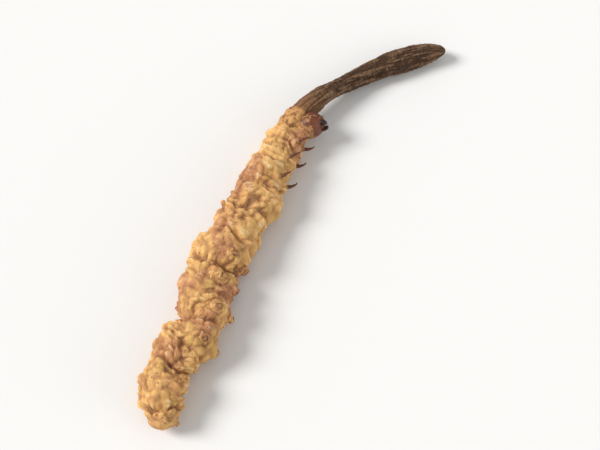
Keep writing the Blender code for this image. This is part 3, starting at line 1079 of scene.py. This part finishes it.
def head_relief(aside, up, way):
    """(height, crease, dark, dust) at degrees aside from the face and up from the mouth."""
    wide = abs(aside)
    fork = (SEAM_FORK - up) * 0.55
    seam = bell(wide, 3.5) if up > SEAM_FORK else bell(wide - fork, 3.0) * ramp(up, -14, -4)
    brow = bell(wide - fork - 10, 3.0) * ramp(up, -8, 6)
    brow *= ramp(up, SEAM_FORK - 6, SEAM_FORK - 16) * 0.6
    halves = bell(wide, 16) * ramp(up, 14, 60)
    face = ramp(fork - wide, 1, 6) * ramp(up, -12, -4) * ramp(up, SEAM_FORK, SEAM_FORK - 8)
    upper_lip = ramp(24 - wide, 0, 5) * bell(up + 18, 5)
    lip = ramp(18 - wide, 0, 4) * bell(up + 30, 5) * (1 - 0.6 * bell(wide, 4))
    eyes = max(bell(math.hypot((wide - eye[0]) * 0.9, up - eye[1]), 2.7) for eye in EYES)
    rim = bell(wide - 128, 7) * ramp(wide, 100, 120)
    folds = noise.noise(way * 5.0) * 0.018
    folds -= abs(noise.noise(way * 11.0 + Vector((3, 1, 7)))) * 0.022
    pits = ramp(noise.noise(way * 16.0), 0.35, 0.6)
    raised = 0.06 * upper_lip + 0.09 * lip + 0.045 * eyes + 0.02 * face
    sunk = 0.055 * seam + 0.03 * brow + 0.06 * halves + 0.03 * rim + PIT_DEPTH * pits
    # Crease: the seam and brow lines, which the shell has dark, and the grooves, rim and pits,
    # where the material paints shade.
    crease = min(seam + brow + 0.25 * halves + 0.5 * rim + 0.5 * pits, 1.0)
    dark = min(0.9 * eyes + 0.55 * lip + 0.35 * upper_lip, 1.0)
    patchy = noise.noise(way * 2.6) + 0.35 * noise.noise(way * 9.0) + wide / 150 - 0.55
    behind = ramp(wide + 20 * noise.noise(way * 4.0), 112, 132)
    dust = max(ramp(patchy, 0.10, 0.42), behind) * (1 - eyes) * 0.8
    return raised - sunk + folds, crease, dark, dust


# The jaws and two pairs of feelers: how dark, then rows of the way ahead, aside and down in
# shares of the head's half sizes, and the radius in millimetres.
JAW = (
    (0.60, 0.32, 0.44, 0.33), (0.85, 0.35, 0.54, 0.31), (0.99, 0.25, 0.61, 0.22),
    (1.03, 0.09, 0.65, 0.09),
)
FEELER = (
    (0.60, 0.50, 0.20, 0.16), (0.84, 0.62, 0.26, 0.13), (0.94, 0.66, 0.28, 0.08),
    (1.04, 0.68, 0.32, 0.03),
)
MOUTH_FEELER = ((0.50, 0.22, 0.70, 0.18), (0.80, 0.22, 0.84, 0.12), (0.93, 0.17, 0.87, 0.04))
HORNS = ((0.9, JAW), (0.2, FEELER), (0.5, MOUTH_FEELER))
HORN_STEPS = 4
HORN_SIDES = 14
HORN_TIP = 0.6


def add_horn(mesh, rows, steps):
    """A closed, tapering tube with round ends through rows of x, y, z and radius."""
    rows = [values for _, values in smooth_rows(rows, steps)]
    points, radii = [Vector(row[:3]) for row in rows], [row[3] for row in rows]
    ways = [(b - a).normalized() for a, b in zip(points[:-1], points[1:])]
    between = [(a + b).normalized() for a, b in zip(ways[:-1], ways[1:])]
    ways = [ways[0], *between, ways[-1]]
    sideways = ways[0].orthogonal().normalized()
    rings = []
    for point, way, radius in zip(points, ways, radii):
        sideways = (sideways - way * sideways.dot(way)).normalized()
        other = way.cross(sideways)
        outward = [math.cos(t) * sideways + math.sin(t) * other for t in circle_turns(HORN_SIDES)]
        rings.append([mesh.verts.new(point + radius * out) for out in outward])
    tips = [points[n] + ways[n] * side * radii[n] * HORN_TIP for n, side in ((0, -1), (-1, 1))]
    join_rings(mesh, rings, tips)


def head_point(*shares):
    """A point on the head, in millimetres, from shares of its half sizes."""
    return Vector([share * size for share, size in zip(shares, HEAD_SIZE)])


def make_head():
    """The head's shell with its forked seam, lips and eyes, and its jaws and feelers."""
    middle, ahead, aside, down = head_axes()
    mesh = bmesh.new()
    bmesh.ops.create_icosphere(mesh, subdivisions=6, radius=1.0)
    rows = []
    for vertex in mesh.verts:
        x, y, z = vertex.co
        up = math.degrees(math.asin(max(min(-z, 1.0), -1.0)))
        height, *marks = head_relief(math.degrees(math.atan2(y, x)), up, vertex.co)
        vertex.co = head_point(x, y, z) * (1 + height)
        rows.append(marks)
    for dark, horn in HORNS:
        for side in (1, -1):
            shape = [(*head_point(x, side * y, z), radius) for x, y, z, radius in horn]
            add_horn(mesh, shape, HORN_STEPS)
            rows += [(0.0, dark, 0.0)] * (len(mesh.verts) - len(rows))
    for vertex in mesh.verts:
        x, y, z = vertex.co
        vertex.co = middle + ahead * x + aside * y + down * z
    return finished_mesh("head_shell", mesh, SHELL, MM, SHELL_MARKS, rows)


# ---- small things on the larva

# Along a leg: the bend, the height above its root and the thickness, in shares of its length.
LEG_OUTLINE = (
    (0.00, -0.55, 0.34), (0.00, -0.15, 0.31), (0.02, 0.10, 0.24), (0.03, 0.20, 0.17),
    (0.06, 0.28, 0.20), (0.15, 0.56, 0.16), (0.18, 0.62, 0.11), (0.22, 0.68, 0.14),
    (0.34, 0.88, 0.10), (0.37, 0.92, 0.07), (0.42, 0.97, 0.08), (0.56, 1.04, 0.05),
    (0.67, 1.02, 0.012),
)
LEG_JOINT_ROWS = (3, 6, 9)
LEG_STEPS = 3
LEG_AHEAD = 0.35
LEG_BEND = (0.7, -0.5)


def make_leg_shape():
    """A helper: one small leg of four joints, curving over, with a claw at its end."""
    mesh = bmesh.new()
    add_horn(mesh, [(bend, 0, up, radius) for bend, up, radius in LEG_OUTLINE], LEG_STEPS)
    rows = []
    for n in range(len(mesh.verts) - 2):
        row = n // HORN_SIDES / LEG_STEPS
        crease = max(bell(row - joint, 0.7) for joint in LEG_JOINT_ROWS)
        dust = 0.75 * ramp(n / HORN_SIDES / LEG_STEPS, 3.7, 0.7)
        rows.append((crease, 0.1 + 0.85 * ramp(row, 8.5, 11.5), dust))
    rows += [(0.0, 0.1, 1.0), (0.0, 1.0, 0.0)]
    return finished_mesh("leg_shape", mesh, SHELL, MM, SHELL_MARKS, rows)


def leg_recipe(shape):
    """The small legs, one on each point."""
    recipe = Recipe("small legs", Leg=shape, Length=1.15)
    axis, bend = recipe.named("axis", VECTOR), recipe.named("bend", VECTOR)
    legs = recipe.place_on(recipe.points(), recipe.shape("Leg"), axis, bend, recipe["Length"])
    return recipe.finish(legs, SHELL)


def make_legs():
    """Three pairs of small legs under the front of the body, pointing ahead and down."""
    roots, axes, bends = [], [], []
    for name in TRUE_LEG_SEGMENTS:
        for side in (1, -1):
            root, axis, forward = leg_root(name, side * TRUE_LEG_SPREAD, LEG_AHEAD)
            across = LARVA_LINE.outward(MIDDLES[name], 0).cross(forward) * side
            roots.append(root * MM)
            axes.append(axis)
            bends.append((forward * LEG_BEND[0] + across * LEG_BEND[1]).normalized())
    shape = make_leg_shape()
    points = points_object("leg_roots", roots, axis=axes, bend=bends)
    return leg_recipe(shape).run("small_legs", points)


BREATHING_SEGMENTS = (*(f"abdomen {n}" for n in range(8, 0, -1)), "thorax 1")
BREATHING_TURN = 86
BREATHING_BEHIND = 0.3
RING_SIDES = 20
RING_WIRE_SIDES = 8


def breathing_hole_recipe(skin):
    """Small dark rings set into the skin, one for each point, turned to lie on it."""
    recipe = Recipe(
        "breathing holes", Skin=skin, Ring_Width=0.29, Ring_Thickness=0.09, Stretch=1.35,
        Sunk=0.03, Softening=12,
    )
    mesh = recipe.shape("Skin")
    soft = recipe.blur(recipe.normal(), recipe["Softening"])
    facing = recipe.node("SampleNearestSurface", mesh, soft, data_type=VECTOR)
    near = recipe.node("Proximity", mesh, target_element="FACES")
    near = near - facing * (recipe["Sunk"] * MM)

    thickness = recipe["Ring Thickness"]
    half = (recipe["Ring Width"] - thickness) * (0.5 * MM)
    circle = recipe.node("CurvePrimitiveCircle", RING_SIDES, half)
    wire = recipe.node("CurvePrimitiveCircle", RING_WIRE_SIDES, thickness * (0.5 * MM))
    ring = recipe.node("CurveToMesh", circle, wire)
    ball = recipe.node("MeshIcoSphere", half, 3)
    plug = recipe.node("Transform", ball, Scale=(0.95, 0.95, 0.16))
    hole = recipe.node("JoinGeometry", recipe.store(ring, dark=0.0, dust=0.6))
    recipe.feed(hole.socket.node.inputs[0], recipe.store(plug, dark=0.7, dust=0.0))
    stretch = recipe.vector(1.0, recipe["Stretch"], 1.0)
    points = recipe.move_to(recipe.points(), near)
    holes = recipe.place_on(points, hole, facing, recipe.named("across", VECTOR), stretch)
    return recipe.finish(holes, SHELL)


def make_breathing_holes(skin):
    """A row along the flank that lies uppermost. The other flank is pressed flat."""
    points, along = [], []
    for name in BREATHING_SEGMENTS:
        place = MIDDLES[name] - BREATHING_BEHIND
        middle, forward, _, _ = LARVA_LINE.frame(place)
        outward = LARVA_LINE.outward(place, BREATHING_TURN)
        points.append((middle + outward * larva_radius(place)) * MM)
        along.append(forward)
    places = points_object("hole_places", points, across=along)
    return breathing_hole_recipe(skin).run("breathing_holes", places)


# ---- the stage

FLOOR_SIZE = 3.0
CAMERA_AZIMUTH = -64.3
CAMERA_ELEVATION = 65
CAMERA_LENS = 85
CAMERA_REACH = (0.01, 10.0)
IMAGE_SIZE = (600, 450)
OBJECT_HEIGHT_SHARE = 0.86
# Large, far lamps: name, the way to it as shares of right, up and near in the picture, how soft
# its shadows are in degrees, strength.
LAMPS = (("key", (-1.0, 0.45, 0.75), 24, 2.84), ("fill", (1.0, -0.15, 0.55), 40, 0.58))
LAMP_DISTANCE = 0.5
AMBIENT = 0.495
BACKDROP = 0.96


def make_floor():
    bpy.ops.mesh.primitive_plane_add(size=FLOOR_SIZE)
    floor = bpy.context.object
    floor.name = "floor"
    matt = {"Roughness": 0.9, "Specular_IOR_Level": 0.1}
    floor.data.materials.append(Material("pale floor").finish(Base_Color=(236, 235, 233), **matt))


def facing(back):
    """The turn that makes a lamp or camera look against a direction, upright."""
    return (-back).to_track_quat("-Z", "Y")


def picture_axes():
    """(right, up, near) in the picture. Near is the way to the camera."""
    azimuth, elevation = math.radians(CAMERA_AZIMUTH), math.radians(CAMERA_ELEVATION)
    level = math.cos(elevation)
    near = Vector((math.sin(azimuth) * level, -math.cos(azimuth) * level, math.sin(elevation)))
    return facing(near) @ Vector((1, 0, 0)), facing(near) @ Vector((0, 1, 0)), near


def place_facing(name, data, place, back):
    """A lamp or camera at a place, looking against a direction."""
    made = new_object(name, data)
    made.location = place
    made.rotation_mode = "QUATERNION"
    made.rotation_quaternion = facing(back)
    return made


def make_camera():
    """A long lens at the photograph's angle, far enough away for the whole piece to fit."""
    right, up, near = picture_axes()
    points = [v.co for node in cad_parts.values() for v in node.data.vertices]
    heights = [point.dot(up) for point in points]
    widths = [point.dot(right) for point in points]
    camera = bpy.data.cameras.new("camera")
    camera.lens = CAMERA_LENS
    camera.clip_start, camera.clip_end = CAMERA_REACH
    view_height = camera.sensor_width / CAMERA_LENS * IMAGE_SIZE[1] / IMAGE_SIZE[0]
    distance = (max(heights) - min(heights)) / OBJECT_HEIGHT_SHARE / view_height
    aim = up * (max(heights) + min(heights)) / 2 + right * (max(widths) + min(widths)) / 2
    aim += near * ((cad_box[0] + cad_box[1]).dot(near) / 2)
    bpy.context.scene.camera = place_facing("camera", camera, aim + near * distance, near)


def make_lights():
    """A soft key from the picture's upper left, a weak fill from its right, and a pale room."""
    right, up, near = picture_axes()
    for name, shares, softness, strength in LAMPS:
        light = bpy.data.lights.new(name, "SUN")
        light.angle = math.radians(softness)
        light.energy = strength
        way = (right * shares[0] + up * shares[1] + near * shares[2]).normalized()
        place_facing(name, light, way * LAMP_DISTANCE, way)
    world = bpy.data.worlds.new("pale room")
    world.use_nodes = True
    room = Tree(world.node_tree)
    background = world.node_tree.nodes["Background"]
    room.feed(background.inputs["Color"], (255, 255, 255))
    seen = room.node("LightPath").out("Is Camera Ray")
    room.feed(background.inputs["Strength"], seen.step(0.0, 1.0, AMBIENT, BACKDROP))
    bpy.context.scene.world = world


# ---- everything together


def put_on(piece, slot, *nodes):
    """Hangs a piece on the body and hides the solids that it stands for. Its slot is not used."""
    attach(piece, BODY)
    if nodes:
        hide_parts(*nodes)


stub_points = stub_leg_points()
larva = make_larva(stub_points)
stub_feet = stub_leg_recipe(make_stub_shape()).run("stub_feet", stub_points)
club = make_club()
head = make_head()
legs = make_legs()
breathing_holes = make_breathing_holes(larva)
for name in (
    "larva_line", "club_line", "stub_legs", "stub_shape", "leg_shape", "leg_roots", "hole_places",
):
    bpy.data.objects.remove(bpy.data.objects[name])

put_on(larva, "larva_skin", "larva")
put_on(stub_feet, "larva_skin")
put_on(club, "club_skin", "stroma")
put_on(head, "head_shell", "head")
put_on(legs, "head_shell")
put_on(breathing_holes, "head_shell")

make_floor()
make_camera()
make_lights()
bpy.context.scene.view_settings.view_transform = "Standard"
